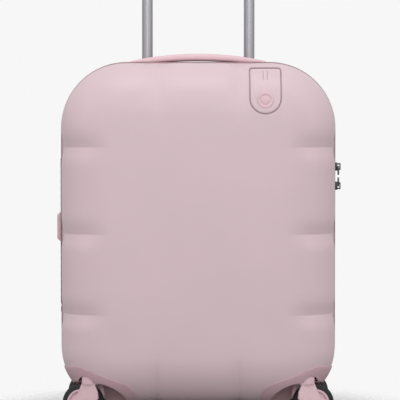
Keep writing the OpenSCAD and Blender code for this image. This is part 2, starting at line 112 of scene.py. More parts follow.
GUARD_LOWER = (-113, 38, 22)
PAST_FACE = -130
BEHIND_FACE = -50
LINING_IN = 8.0
REAR_LINING_FORM = (56.0, 40.0, 44.0)
CLOTH = 0.7
TAG_X = 95.4
TAG_HALF = 21.0
TAG_ROUND_Z = 467.0
TAG_HIGH = 509.0
BADGE_Z = 464.0
HANDLE_Y = 27.0
SIDE_Y = 26.5
SIDE_Z = 279.0
STRAP_Z = 273.0
STRAP_FROM, STRAP_TO = 36, 178
STRAP_HALF = 12.5
STRAP_TILT = 38
TYRE_R = 29.0
FLOOR_R = 800


# ---- Mesh helpers ---------------------------------------------------------

def add_object(name, mesh):
    obj = bpy.data.objects.new(name, mesh)
    bpy.context.scene.collection.objects.link(obj)
    return obj


def mesh_object(name, points, faces):
    """An object from points in millimetres."""
    mesh = bpy.data.meshes.new(name)
    mesh.from_pydata([Vector(p) * MM for p in points], [], faces)
    mesh.validate()
    obj = add_object(name, mesh)
    outward(obj)
    return obj


def outward(obj):
    bm = bmesh.new()
    bm.from_mesh(obj.data)
    bmesh.ops.recalc_face_normals(bm, faces=bm.faces)
    bm.to_mesh(obj.data)
    bm.free()


def loft(name, rings, closed_along=False):
    """A skin through rings with the same number of points, capped at its ends or closed into a loop."""
    count = len(rings[0])
    points = [p for ring in rings for p in ring]
    faces = []
    last = len(rings) if closed_along else len(rings) - 1
    for i in range(last):
        low, high = i * count, ((i + 1) % len(rings)) * count
        for j in range(count):
            k = (j + 1) % count
            faces.append((low + j, low + k, high + k, high + j))
    if not closed_along:
        faces.append(tuple(range(count)))
        faces.append(tuple(range((len(rings) - 1) * count, len(rings) * count)))
    return mesh_object(name, points, faces)


def circle(steps):
    """Points of a unit circle."""
    return [(math.cos(2 * math.pi * i / steps), math.sin(2 * math.pi * i / steps)) for i in range(steps)]


def lathe(name, profile, steps, centre):
    """A closed profile of (radius, height) turned about an upright axis through centre."""
    cx, cy, cz = centre
    rings = [[(cx + r * c, cy + r * s, cz + h) for r, h in profile] for c, s in circle(steps)]
    return loft(name, rings, closed_along=True)


def arc(cx, cy, r, start, end, steps):
    return [(cx + r * math.cos(math.radians(start + (end - start) * i / steps)),
             cy + r * math.sin(math.radians(start + (end - start) * i / steps))) for i in range(steps + 1)]


def apply_modifiers(obj):
    graph = bpy.context.evaluated_depsgraph_get()
    graph.update()
    mesh = bpy.data.meshes.new_from_object(obj.evaluated_get(graph))
    obj.modifiers.clear()
    old = obj.data
    obj.data = mesh
    mesh.name = old.name
    bpy.data.meshes.remove(old)


def boolean(obj, cutter, operation="DIFFERENCE"):
    mod = obj.modifiers.new("boolean", "BOOLEAN")
    mod.object = cutter
    mod.operation = operation
    mod.solver = "MANIFOLD"
    apply_modifiers(obj)


def remove(*objs):
    for obj in objs:
        bpy.data.objects.remove(obj)


def cut(obj, cutter, operation="DIFFERENCE"):
    """A boolean that uses up its cutter."""
    boolean(obj, cutter, operation)
    remove(cutter)


def thicken(obj, thickness):
    """Makes a skin a sheet, with half its thickness on either side."""
    mod = obj.modifiers.new("thickness", "SOLIDIFY")
    mod.thickness = thickness * MM
    mod.offset = 0
    apply_modifiers(obj)


def join(name, *objs):
    """One object with the meshes of all."""
    bm = bmesh.new()
    for obj in objs:
        bm.from_mesh(obj.data)
    mesh = bpy.data.meshes.new(name)
    bm.to_mesh(mesh)
    bm.free()
    remove(*objs)
    return add_object(name, mesh)


def dress(obj, material, bevel=0.0, segments=2, angle=35):
    """Rounds the hard edges, sets smooth shading and gives the material."""
    if bevel:
        mod = obj.modifiers.new("bevel", "BEVEL")
        mod.width = bevel * MM
        mod.segments = segments
        mod.limit_method = "ANGLE"
        mod.angle_limit = math.radians(angle)
        mod.use_clamp_overlap = True
        apply_modifiers(obj)
    mesh = obj.data
    mesh.polygons.foreach_set("use_smooth", [True] * len(mesh.polygons))
    mesh.set_sharp_from_angle(angle=math.radians(angle))
    mesh.materials.clear()
    mesh.materials.append(material)
    return obj


def softened(node, material, bevel, segments=2):
    """A copy of a CAD node with rounded edges, in its place."""
    mesh = bpy.data.meshes.new(node + "_finished")
    bm = bmesh.new()
    bm.from_mesh(nodes[node].data)
    bmesh.ops.remove_doubles(bm, verts=bm.verts, dist=0.00001)
    bmesh.ops.dissolve_limit(bm, angle_limit=math.radians(1.0), verts=bm.verts, edges=bm.edges)
    bm.to_mesh(mesh)
    bm.free()
    obj = add_object(mesh.name, mesh)
    if "custom_normal" in mesh.attributes:
        mesh.attributes.remove(mesh.attributes["custom_normal"])
    dress(obj, material, bevel, segments, angle=32)
    place(obj, node_body(node), node)


def node_body(node):
    return nodes[node]["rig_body"]


def place(obj, body, *replaced):
    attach(obj, body)
    if replaced:
        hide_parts(*replaced)


def blocks(name, boxes):
    """One object of separate boxes, each given by two corners in millimetres."""
    points, faces = [], []
    for low, high in boxes:
        base = len(points)
        points += [(x, y, z) for x in (low[0], high[0]) for y in (low[1], high[1]) for z in (low[2], high[2])]
        faces += [tuple(base + i for i in f) for f in BOX_FACES]
    return mesh_object(name, points, faces)


# ---- Outline of the case --------------------------------------------------

def straight(start, end, normal, creases, soft=0.0):
    """Samples of one straight stretch, closer together at its creases, which soft makes shallower."""
    length = math.dist(start, end)
    folds = [math.dist(start, c) for c in creases]
    marks = {0.0}
    for fold in folds:
        marks.update(fold + s * step for s in (-1, 1) for step in CREASE_STEPS)
    at = 0.0
    while at < length - SAMPLE_STEP:
        at += SAMPLE_STEP
        if all(abs(at - fold) > CREASE_STEPS[-1] + 3 for fold in folds):
            marks.add(at)
    samples = []
    for mark in sorted(m for m in marks if 0 <= m < length - 0.5):
        t = mark / length
        point = (start[0] + (end[0] - start[0]) * t, start[1] + (end[1] - start[1]) * t)
        near = min(abs(mark - fold) for fold in folds) + soft
        samples.append((point, normal, near))
    return samples


def corner(cx, cz, r, start):
    """Samples of a round corner, which has no creases."""
    samples = []
    for i in range(CORNER_STEPS):
        a = math.radians(start + 90 * i / CORNER_STEPS)
        samples.append(((cx + r * math.cos(a), cz + r * math.sin(a)), (math.cos(a), math.sin(a)), NO_CREASE))
    return samples


def case_outline():
    """Samples (point, outward normal, distance to a crease) round the case, counter-clockwise."""
    tx, tz = HALF_W - TOP_R, HIGH_Z - TOP_R
    bx, bz = HALF_W - LOW_R, LOW_Z + LOW_R
    up = [(HALF_W, z) for z in CREASE_Z]
    down = [(-HALF_W, z) for z in reversed(CREASE_Z)]
    over = [(x, HIGH_Z) for x in reversed(CREASE_X)]
    under = [(x, LOW_Z) for x in CREASE_X]
    return (straight((HALF_W, bz), (HALF_W, tz), (1, 0), up) + corner(tx, tz, TOP_R, 0)
            + straight((tx, HIGH_Z), (-tx, HIGH_Z), (0, 1), over) + corner(-tx, tz, TOP_R, 90)
            + straight((-HALF_W, tz), (-HALF_W, bz), (-1, 0), down) + corner(-bx, bz, LOW_R, 180)
            + straight((-bx, LOW_Z), (bx, LOW_Z), (0, -1), under, UNDER_SOFT) + corner(bx, bz, LOW_R, 270))


OUTLINE = case_outline()


def smoothstep(low, high, value):
    t = min(1.0, max(0.0, (value - low) / (high - low)))
    return t * t * (3 - 2 * t)


def dent(near, inset, y):
    """Depth of the creases at a point of the shell."""
    reach = 1 - smoothstep(*CREASE_REACH, inset)
    rim = smoothstep(-ZIP_HALF, -ZIP_HALF - 9, y) if y > -ZIP_HALF - 9 else 1.0
    fade = 1 - smoothstep(*CREASE_FADE, near)
    return CREASE_DEPTH * math.exp(-near / CREASE_WIDTH) * fade * reach * rim


def shell_ring(inset, y, tilt, creased):
    """One ring of the shell; tilt is the angle of its normal towards the face."""
    ring = []
    for (x, z), (nx, nz), near in OUTLINE:
        d = dent(near, inset, y) if creased else 0.0
        across = inset + d * math.cos(tilt)
        ring.append((x - nx * across, y + d * math.sin(tilt), z - nz * across))
    return ring


def roll_point(part, roll, reach):
    """Inset, fall towards the face and tilt of a point on the soft roll from the wall into the face."""
    a = math.pi / 2 * part
    c, t = math.cos(a), math.sin(a)
    inset = reach - reach * c ** (2 / ROLL_POWER)
    fall = roll * t ** (2 / ROLL_POWER)
    slope = ((reach - inset) / reach) ** (ROLL_POWER - 1) / reach
    drop = (fall / roll) ** (ROLL_POWER - 1) / roll
    return inset, fall, math.atan2(drop, slope)


def shell_rings(grow, creased=True, depth=DEPTH, roll=ROLL_R, reach=ROLL_REACH, steps=22):
    """Rings from the zip to the middle of the face; grow moves the surface outward."""
    rings = [shell_ring(-grow, -ZIP_HALF - back, 0, creased) for back in (0, 3, 6, 10, 18)
             if -ZIP_HALF - back > roll - depth + 1]
    for i in range(steps + 1):
        inset, fall, tilt = roll_point(i / steps, roll, reach)
        inset -= grow * math.cos(tilt)
        y = roll - depth - fall - grow * math.sin(tilt)
        rings.append(shell_ring(inset, y, tilt, creased))
    middle_z = (LOW_Z + HIGH_Z) / 2
    edge = rings[-1]
    for part in (0.8, 0.55, 0.3):
        rings.append([(x * part, -depth - grow, middle_z + (z - middle_z) * part) for x, y, z in edge])
    return rings


def shell_form(name, grow):
    """The whole space in front of the zip that a shell fills, grown outward."""
    return loft(name, shell_rings(grow))


def mirrored(obj, name, axis):
    """A mirror image of a mesh in the plane x = 0 or y = 0."""
    mesh = obj.data.copy()
    mesh.name = name
    flip = Matrix.Diagonal((-1, 1, 1, 1)) if axis == "X" else Matrix.Diagonal((1, -1, 1, 1))
    mesh.transform(flip)
    mesh.flip_normals()
    return add_object(name, mesh)


# ---- Materials ------------------------------------------------------------

def new_material(name, color, roughness, metallic=0.0):
    mat = bpy.data.materials.new(name)
    mat.use_nodes = True
    tree = mat.node_tree
    shader = tree.nodes["Principled BSDF"]
    shader.inputs["Base Color"].default_value = (*color, 1)
    shader.inputs["Roughness"].default_value = roughness
    shader.inputs["Metallic"].default_value = metallic
    return mat, tree, shader


def node(tree, kind, **values):
    made = tree.nodes.new(kind)
    for key, value in values.items():
        if key in made.inputs:
            made.inputs[key].default_value = value
        else:
            setattr(made, key, value)
    return made


def position(tree, scale=(1, 1, 1)):
    coords = node(tree, "ShaderNodeTexCoord")
    mapping = node(tree, "ShaderNodeMapping")
    mapping.inputs["Scale"].default_value = scale
    tree.links.new(coords.outputs["Object"], mapping.inputs["Vector"])
    return mapping.outputs["Vector"]


def vary_color(tree, shader, color, amount, scale, place_at):
    """Slow, slight changes of tone over the surface."""
    cloud = node(tree, "ShaderNodeTexNoise", Scale=scale, Detail=3.0)
    ramp = node(tree, "ShaderNodeValToRGB")
    ramp.color_ramp.elements[0].position = 0.3
    ramp.color_ramp.elements[1].position = 0.7
    ramp.color_ramp.elements[0].color = (*[c * (1 - amount) for c in color], 1)
    ramp.color_ramp.elements[1].color = (*[min(1, c * (1 + amount)) for c in color], 1)
    tree.links.new(place_at, cloud.inputs["Vector"])
    tree.links.new(cloud.outputs["Fac"], ramp.inputs["Fac"])
    tree.links.new(ramp.outputs["Color"], shader.inputs["Base Color"])


def vary_roughness(tree, shader, low, high, scale, place_at):
    cloud = node(tree, "ShaderNodeTexNoise", Scale=scale, Detail=4.0)
    spread = node(tree, "ShaderNodeMapRange")
    spread.inputs["To Min"].default_value = low
    spread.inputs["To Max"].default_value = high
    tree.links.new(place_at, cloud.inputs["Vector"])
    tree.links.new(cloud.outputs["Fac"], spread.inputs["Value"])
    tree.links.new(spread.outputs["Result"], shader.inputs["Roughness"])


def bump(tree, shader, height, strength, distance):
    made = node(tree, "ShaderNodeBump", Strength=strength, Distance=distance)
    tree.links.new(height, made.inputs["Height"])
    tree.links.new(made.outputs["Normal"], shader.inputs["Normal"])


def moulded(name, color, roughness, grain=1500, depth=0.00004, coat=0.0, tone=0.03):
    """Moulded plastic with a fine spark-eroded grain."""
    mat, tree, shader = new_material(name, color, roughness)
    at = position(tree)
    vary_color(tree, shader, color, tone, 9, at)
    vary_roughness(tree, shader, roughness - 0.05, roughness + 0.07, 40, at)
    cells = node(tree, "ShaderNodeTexNoise", Scale=grain, Detail=2.0)
    tree.links.new(at, cells.inputs["Vector"])
    bump(tree, shader, cells.outputs["Fac"], 0.35, depth)
    shader.inputs["Coat Weight"].default_value = coat
    shader.inputs["Coat Roughness"].default_value = 0.25
    return mat


def woven(name, color, pitch, roughness=0.85, depth=0.0003, tone=0.12):
    """Cloth with a plain weave of the given thread pitch in millimetres."""
    mat, tree, shader = new_material(name, color, roughness)
    at = position(tree)
    vary_color(tree, shader, color, tone, 60, at)
    waves = []
    for direction in ("X", "Z"):
        wave = node(tree, "ShaderNodeTexWave", Scale=314 / (pitch * 2), wave_type="BANDS",
                    bands_direction=direction)
        wave.inputs["Distortion"].default_value = 0.4
        tree.links.new(at, wave.inputs["Vector"])
        waves.append(wave.outputs["Fac"])
    mix = node(tree, "ShaderNodeMath", operation="MAXIMUM")
    tree.links.new(waves[0], mix.inputs[0])
    tree.links.new(waves[1], mix.inputs[1])
    bump(tree, shader, mix.outputs[0], 0.5, depth)
    shader.inputs["Sheen Weight"].default_value = 0.25
    shader.inputs["Sheen Roughness"].default_value = 0.5
    return mat


def brushed(name, color, roughness, stretch):
    """Drawn or brushed metal with fine marks along one axis."""
    mat, tree, shader = new_material(name, color, roughness, 1.0)
    at = position(tree, stretch)
    marks = node(tree, "ShaderNodeTexNoise", Scale=1.0, Detail=5.0, Roughness=0.6)
    tree.links.new(at, marks.inputs["Vector"])
    spread = node(tree, "ShaderNodeMapRange")
    spread.inputs["To Min"].default_value = roughness - 0.08
    spread.inputs["To Max"].default_value = roughness + 0.12
    tree.links.new(marks.outputs["Fac"], spread.inputs["Value"])
    tree.links.new(spread.outputs["Result"], shader.inputs["Roughness"])
    bump(tree, shader, marks.outputs["Fac"], 0.15, 0.00005)
    return mat


PINK = (0.66, 0.505, 0.545)
SHELL = moulded("shell_pink", PINK, 0.42, coat=0.12, tone=0.02)
GUARD = moulded("guard_pink", (0.60, 0.40, 0.445), 0.45)
COVER = moulded("cover_pink", (0.74, 0.515, 0.56), 0.40, coat=0.1)
HOUSING = moulded("housing_maroon", (0.17, 0.085, 0.095), 0.55)
CUP = moulded("recess_rose", (0.62, 0.40, 0.425), 0.6)
TRAY = moulded("tray_rose", (0.50, 0.35, 0.385), 0.5)
TAPE = woven("zip_tape_pink", (0.62, 0.46, 0.49), 0.9)
WEBBING = woven("webbing_mauve", (0.22, 0.13, 0.145), 1.2)
LINING = woven("lining_rose_grey", (0.42, 0.335, 0.34), 0.7, tone=0.05)
TEETH = moulded("zip_coil", (0.36, 0.20, 0.22), 0.35)
GUNMETAL = brushed("gunmetal", (0.075, 0.072, 0.078), 0.32, (900, 900, 120))
TUBE = brushed("tube_aluminium", (0.43, 0.425, 0.445), 0.46, (2500, 2500, 12))
TUBE_DARK = brushed("tube_anodised", (0.34, 0.34, 0.355), 0.34, (2500, 2500, 12))
STEEL = brushed("steel", (0.60, 0.60, 0.62), 0.28, (400, 400, 400))
GRIP = moulded("grip_soft", (0.10, 0.078, 0.084), 0.62, grain=2200, depth=0.00006)
BLACK = moulded("acetal_black", (0.022, 0.02, 0.022), 0.45)
TYRE = moulded("tyre_black", (0.018, 0.017, 0.019), 0.68, grain=900, depth=0.00012)
DIAL = moulded("dial_white", (0.78, 0.74, 0.74), 0.35)
BUSH = moulded("bush_cream", (0.55, 0.50, 0.42), 0.4)
CARD = moulded("card_white", (0.80, 0.79, 0.74), 0.8, grain=600)


# ---- Cutters --------------------------------------------------------------

def recess_profile(grow):
    """Domed wheel recess open below, with the pocket of its swivel bearing on top."""
    r, k, top = RECESS_R + grow, RECESS_ROUND + grow, RECESS_TOP + grow
    pocket, pocket_top = POCKET_R + grow, POCKET_TOP + grow
    roof = arc(r - k, top - k, k, 0, 90, 14)
    return [(NEAR_AXIS, -30), (r, -30), *roof, (pocket, top), (pocket, pocket_top), (NEAR_AXIS, pocket_top)]


def recess_cutter(name, grow, side=-1):
    rings = [[(side * CASTER_X + r * c, -CASTER_Y + r * s, h) for c, s in circle(96)]
             for r, h in recess_profile(grow)]
    return loft(name, rings)


def prism(name, outline, y_from, y_to):
    """An outline in X and Z, extruded along Y."""
    return loft(name, [[(x, y, z) for x, z in outline] for y in (y_from, y_to)])


def tag_outline(grow):
    r = TAG_HALF + grow
    low = [(TAG_X + x, TAG_ROUND_Z + z) for x, z in arc(0, 0, r, 180, 360, 40)]
    top = TAG_HIGH + grow
    k = 3 + grow
    right = arc(TAG_X + r - k, top - k, k, 0, 90, 6)
    left = arc(TAG_X - r + k, top - k, k, 90, 180, 6)
    return low + right + left


def guard_outline():
    """Front outline of a lower left corner guard, with a soft corner between its two edges."""
    upper = arc(*GUARD_UPPER, 108, GUARD_LEAN, 12)
    lower = arc(*GUARD_LOWER, GUARD_LEAN, 0, 16)
    return [(-240, 74), (-212, 76)] + upper + lower + [(-91, -20), (-240, -20)]


# ---- Shells ---------------------------------------------------------------

def shell_tub(name):
    return loft(name, list(reversed(shell_rings(-WALL))) + shell_rings(0.0))


def cut_recesses(shell):
    for side in (-1, 1):
        cut(shell, recess_cutter("cutter", 2.3, side))


def build_front_shell():
    shell = shell_tub("front_shell_skin")
    cut_recesses(shell)
    cut(shell, prism("cutter", tag_outline(2.4), PAST_FACE, BEHIND_FACE))
    dress(shell, SHELL, 0.35, 2, 40)
    place(shell, "lid", "front_shell")


def build_rear_shell():
    """Rear shell, opened outward from the box of each fitting that is let into it."""
    shell = shell_tub("front_form")
    cut_recesses(shell)
    rear = mirrored(shell, "rear_shell_skin", "Y")
    remove(shell)
    clear = 0.3
    for name, far in (("handle_bezel", (0, 0, 60)), ("handle_tray", (0, 0, 60)),
                      ("side_handle_cup", (-60, 0, 0)), ("lock_body", (60, 0, 0))):
        low, high = (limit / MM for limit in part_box(name))
        low = [low[i] - clear + min(0, far[i]) for i in range(3)]
        high = [high[i] + clear + max(0, far[i]) for i in range(3)]
        cut(rear, blocks("cutter", [(low, high)]))
    dress(rear, SHELL, 0.35, 2, 40)
    place(rear, "case", "rear_shell")


def build_guards():
    """Guard skin and wheel housing for the front left corner, and its three mirror images."""
    skin = shell_form("skin", GUARD_PROUD + 0.1)
    cut(skin, shell_form("inner", 0.15))
    cut(skin, prism("cutter", guard_outline(), PAST_FACE, -ZIP_HALF - 5), "INTERSECT")
    hole = recess_cutter("hole", 0)
    boolean(skin, hole)
    cup = recess_cutter("cup", 2.0)
    cut(cup, hole)
    cut(cup, shell_form("form", GUARD_PROUD), "INTERSECT")
    dress(skin, GUARD, 0.5, 3, 38)
    dress(cup, CUP, 0.0, 2, 38)
    made = {"front_guard_left": (skin, cup)}
    for name, source, axis in (("front_guard_right", "front_guard_left", "X"),
                               ("rear_guard_left", "front_guard_left", "Y"),
                               ("rear_guard_right", "rear_guard_left", "X")):
        made[name] = tuple(mirrored(part, name + "_part", axis) for part in made[source])
    for name, (skin, cup) in made.items():
        skin.name = name + "_skin"
        cup.name = name + "_cup"
        body = node_body(name)
        place(skin, body, name)
        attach(cup, body)


# ---- Zip ------------------------------------------------------------------

def sweep_outline(name, section):
    """A closed section of (grow, y) points carried round the outline of the case."""
    rings = [[(x + nx * grow, y, z + nz * grow) for grow, y in section] for (x, z), (nx, nz), near in OUTLINE]
    return loft(name, rings, closed_along=True)


def tape_section(sign):
    """Zip tape with a piped outer edge beside the shell and a thin flat web towards the teeth."""
    proud = ZIP_PROUD
    bead_r = 1.7
    bead = arc(proud - bead_r, -ZIP_HALF + bead_r, bead_r, 270, 0, 8)
    web = [(proud - 0.9, -ZIP_HALF + 3.6), (proud - 0.5, -6.5), (proud - 0.2, -4.4), (proud - 0.2, -1.9),
           (proud - 0.6, -1.5), (-LINING_IN, -1.5), (-LINING_IN, -ZIP_HALF)]
    return [(g, y if sign < 0 else -y) for g, y in bead + web]


def outline_length_points(grow, pitch):
    """Points evenly spaced along the outline with their outward normals."""
    base = [((x + nx * grow, z + nz * grow), (nx, nz)) for (x, z), (nx, nz), near in OUTLINE]
    base.append(base[0])
    found, carry = [], 0.0
    for (a, na), (b, nb) in zip(base, base[1:]):
        length = math.dist(a, b)
        at = carry
        while at < length:
            t = at / length
            found.append(((a[0] + (b[0] - a[0]) * t, a[1] + (b[1] - a[1]) * t),
                          ((na[0] + (nb[0] - na[0]) * t), (na[1] + (nb[1] - na[1]) * t))))
            at += pitch
        carry = at - length
    return found


TOOTH_PITCH = 3.0
TOOTH_HALF = 1.0
TOOTH_ROOT, TOOTH_TIP = (3.0, 1.0), (0.15, 0.75)
TOOTH_DEPTHS = (-0.9, 0.7)


def build_zip():
    """Both tapes and their teeth; root and tip are a distance from the middle and a share of the width."""
    for body, sign in (("lid", -1), ("case", 1)):
        end = "front" if sign < 0 else "rear"
        tape = sweep_outline(end + "_zip_tape_cloth", tape_section(sign))
        dress(tape, TAPE, 0.0, 1, 50)
        place(tape, body, end + "_zip_tape")
        points, faces = [], []
        for index, ((x, z), (nx, nz)) in enumerate(outline_length_points(ZIP_PROUD - 1.5, TOOTH_PITCH)):
            if (index % 2 == 0) != (sign < 0):
                continue
            base = len(points)
            for u in (-TOOTH_HALF, TOOTH_HALF):
                for away, share in (TOOTH_ROOT, TOOTH_TIP):
                    for g in TOOTH_DEPTHS:
                        points.append((x - nz * u * share + nx * g, sign * away, z + nx * u * share + nz * g))
            faces += [tuple(base + i for i in f) for f in BOX_FACES]
        teeth = mesh_object(end + "_zip_teeth_coil", points, faces)
        dress(teeth, TEETH, 0.25, 1, 35)
        place(teeth, body, end + "_zip_teeth")


def build_hinge_web():
    """Woven strip between the case and the lid, with a slight ripple along its length."""
    low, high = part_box("hinge_web")
    x = -HALF_W - ZIP_PROUD - 0.55
    half, ripple = 9.5, 0.1
    rows, columns = 90, 12
    points, faces = [], []
    for i in range(rows + 1):
        z = low.z / MM + (high.z - low.z) / MM * i / rows
        for j in range(columns + 1):
            y = -half + 2 * half * j / columns
            points.append((x - ripple * math.sin(i * 1.3) * math.cos(y), y, z))
    for i in range(rows):
        for j in range(columns):
            a = i * (columns + 1) + j
            faces.append((a, a + 1, a + columns + 2, a + columns + 1))
    web = mesh_object("hinge_web_cloth", points, faces)
    thicken(web, CLOTH)
    dress(web, WEBBING, 0, 1, 50)
    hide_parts("hinge_web")
    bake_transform(web)


# ---- Tag ------------------------------------------------------------------

def tag_layer(name, outer, inner, grow):
    """Tag-shaped plate between two surfaces, given outward from the shell's."""
    layer = shell_form(name, outer)
    cut(layer, shell_form("under", inner))
    cut(layer, prism("cutter", tag_outline(grow), PAST_FACE, BEHIND_FACE), "INTERSECT")
    return layer


def build_tag():
    flap = tag_layer("tag_flap_skin", 0.5, -0.9, 0.3)
    cut(flap, blocks("slits", [((TAG_X + x - 0.4, PAST_FACE, 493), (TAG_X + x + 0.4, BEHIND_FACE, 505))
                               for x in (-3, 3)]))
    dress(flap, SHELL, 0.35, 3, 40)
    place(flap, "tag", "tag_flap")

    tray = tag_layer("tag_tray_skin", 0.1, -2.9, 2.2)
    cut(tray, tag_layer("room", 5.0, -1.9, 1.2))
    dress(tray, TRAY, 0.2, 2, 40)
    place(tray, "lid", "tag_tray")

    card = tag_layer("address_card_sheet", -1.3, -1.75, -2)
    dress(card, CARD)
    place(card, "lid", "address_card")

    profile = [(NEAR_AXIS, 0), (11.2, 0), (11.5, 0.3), (11.2, 0.9), (10.7, 1.1), (8.4, 1.1), (7.9, 0.8),
               (7.2, 0.45), (6.6, 0.45), (6.0, 0.9), (5.2, 1.1), (NEAR_AXIS, 1.1)]
    badge = loft("tag_badge_disc", [[(TAG_X + r * c, 0.6 - DEPTH - h, BADGE_Z + r * s) for c, s in circle(72)]
                                    for r, h in profile])
    dress(badge, COVER, 0.0, 1, 60)
    place(badge, "tag", "tag_badge")


# ---- Carrying handles -----------------------------------------------------

def superellipse(half_a, half_b, power, count):
    def bent(value):
        return math.copysign(abs(value) ** (2 / power), value)
    return [(half_a * bent(c), half_b * bent(s)) for c, s in circle(count)]


def end_round(at, half, r):
    """Share of the full section near the round end of a bar, from 0 at the tip to 1."""
    return math.sqrt(max(0.0, 1 - max(0.0, (abs(at) - half + r) / r) ** 2))


def build_top_handle():
    """Shallow bow with an arched underside, on two headed posts."""
    low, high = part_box("top_handle")
    half = high.x / MM
    peak = high.z / MM
    bow, gap, arch, arch_half, half_width = 11.2, 0.8, 3.8, 72, 10.5
    rings = []
    steps = 72
    for i in range(steps + 1):
        u = -1 + 2 * i / steps
        x = half * u
        end = end_round(x, half, 5)
        top = peak - bow * (x / half) ** 2
        under = HIGH_Z + gap + arch * max(0.0, 1 - (x / arch_half) ** 2)
        centre = (top + under) / 2
        thick = max(0.15, (top - under) / 2 * max(0.06, end))
        width = max(0.3, half_width * (0.75 + 0.25 * end)) * (0.9 + 0.1 * math.cos(u * math.pi / 2))
        rings.append([(x, HANDLE_Y + a, centre + b) for a, b in superellipse(width, thick, 3.0, 32)])
    bar = loft("top_handle_bar", rings)
    profile = [(NEAR_AXIS, 0), (8, 0), (8, 1.2), (5, 1.2), (5, 19), (NEAR_AXIS, 19)]
    posts = [lathe("post", profile, 40, (side * 88, HANDLE_Y, low.z / MM)) for side in (-1, 1)]
    handle = join("top_handle_finished", bar, *posts)
    dress(handle, COVER, 0, 1, 45)
    place(handle, "carry_handle", "top_handle")


def build_side_handle():
    """Flat bar with a proud pad in its middle, on two headed posts."""
    low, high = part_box("side_handle")
    left, tip = low.x / MM, high.x / MM
    inner, half, flat, half_width = -198.5, 54, 4.0, 8.5
    rings = []
    steps = 60
    for i in range(steps + 1):
        z = half * (-1 + 2 * i / steps)
        end = end_round(z, half, 4)
        pad = 1 - smoothstep(17, 23, abs(z))
        thick = (flat + (abs(left) - abs(inner) - flat) * pad) * max(0.1, end)
        width = half_width * (0.8 + 0.2 * end)
        rings.append([(inner - thick / 2 - a * thick / 2, SIDE_Y + b * width, SIDE_Z + z)
                      for a, b in superellipse(1, 1, 3.2, 32)])
    bar = loft("side_handle_bar", rings)
    profile = [(4, inner - 1), (4, tip - 1), (6, tip - 1), (6, tip)]
    posts = [loft("post", [[(x, SIDE_Y + r * c, SIDE_Z + side * 46 + r * s) for c, s in circle(32)]
                           for r, x in profile]) for side in (-1, 1)]
    handle = join("side_handle_finished", bar, *posts)
    dress(handle, COVER, 0, 1, 45)
    place(handle, "side_carry_handle", "side_handle")


# ---- Inside ---------------------------------------------------------------

def fork_swing(clear, side):
    """Cylinder that a turning fork stays inside, with some clearance."""
    low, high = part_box("fork_front_left")
    reach = max(math.hypot(abs(x / MM) - CASTER_X, y / MM + CASTER_Y)
                for x in (low.x, high.x) for y in (low.y, high.y))
    top = high.z / MM + clear
    profile = [(NEAR_AXIS, 1), (reach + clear, 1), (reach + clear, top), (NEAR_AXIS, top)]
    return lathe("swing", profile, 48, (side * CASTER_X, -CASTER_Y, 0))


def build_lining(name, node_name, body, sign, depth, roll, reach):
    """Cloth tub with slight puckers, cut round the wheel housings."""
    tub = loft(name + "_tub", shell_rings(0.5 - LINING_IN, False, depth, roll, reach, steps=12))
    bm = bmesh.new()
    bm.from_mesh(tub.data)
    caps = [f for f in bm.faces if len(f.verts) > 4 and abs(f.calc_center_median().y) < (ZIP_HALF + 1) * MM]
    bmesh.ops.delete(bm, geom=caps, context="FACES")
    bmesh.ops.triangulate(bm, faces=[f for f in bm.faces if len(f.verts) > 4])
    for v in bm.verts:
        pucker = noise.noise(Vector((v.co.x * 14, v.co.y * 40, v.co.z * 14)) + Vector((3.1, 7.7, sign)))
        v.co.y += pucker * 0.9 * MM * smoothstep(-ZIP_HALF - 3, -ZIP_HALF - 20, v.co.y / MM)
    bm.to_mesh(tub.data)
    bm.free()
    thicken(tub, CLOTH)
    boss = [(NEAR_AXIS, 60), (10, 60), (10, 96), (NEAR_AXIS, 96)]
    for side in (-1, 1):
        cut(tub, recess_cutter("cutter", 2.6, side))
        cut(tub, lathe("boss", boss, 32, (side * CASTER_X, -CASTER_Y, 0)))
        cut(tub, fork_swing(1.5, side))
    if sign > 0:
        rear = mirrored(tub, name, "Y")
        remove(tub)
        tub = rear
        clear = 0.6
        for fitting in ("handle_tray", "side_handle_cup", "lock_body"):
            low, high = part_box(fitting)
            cut(tub, blocks("cutter", [([v / MM - clear for v in low], [v / MM + clear for v in high])]))
    tub.name = name
    dress(tub, LINING, 0, 1, 45)
    place(tub, body, node_name)


def build_straps():
    """Two crossed elastic straps with raised ribs."""
    low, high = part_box("packing_straps")
    y = (low.y + high.y) / 2 / MM
    rows, ribs = 48, 10
    across = [-STRAP_HALF + 2 * STRAP_HALF * k / ribs for k in range(ribs + 1)]
    section = [(w, -0.55 - (0.12 if k % 2 else 0)) for k, w in enumerate(across)]
    section += [(w, 0.5) for w in reversed(across)]
    parts = []
    for side in (-1, 1):
        tilt = Matrix.Rotation(math.radians(side * STRAP_TILT), 4, "Y")
        for end in (-1, 1):
            rings = []
            for i in range(rows + 1):
                u = end * (STRAP_FROM + (STRAP_TO - STRAP_FROM) * i / rows)
                turned = [(tilt @ Vector((u, 0, w)), t) for w, t in section]
                rings.append([(p.x, y + t, STRAP_Z + p.z) for p, t in turned])
            parts.append(loft("strap", rings))
    straps = join("packing_straps_webbing", *parts)
    dress(straps, WEBBING, 0, 1, 50)
    place(straps, "case", "packing_straps")


# ---- Casters --------------------------------------------------------------

def wheel_frame(name):
    """Centre and turning angle of a caster's wheels, from the record's joints."""
    joint = next(j for j in frame["joints"] if j["name"] == "spin_" + name)
    return Vector(joint["pos_m"]), Vector(joint["axis"])


def wheel_lathe(name, profile, centre, axis, steps=96):
    """A closed profile of (radius, distance along the axle), turned about the axle."""
    up = Vector((0, 0, 1))
    side = up.cross(axis).normalized()
    rings = []
    for c, s in circle(steps):
        out = side * c + up * s
        rings.append([tuple((centre + (out * r + axis * h) * MM) / MM) for r, h in profile])
    return loft(name, rings, closed_along=True)


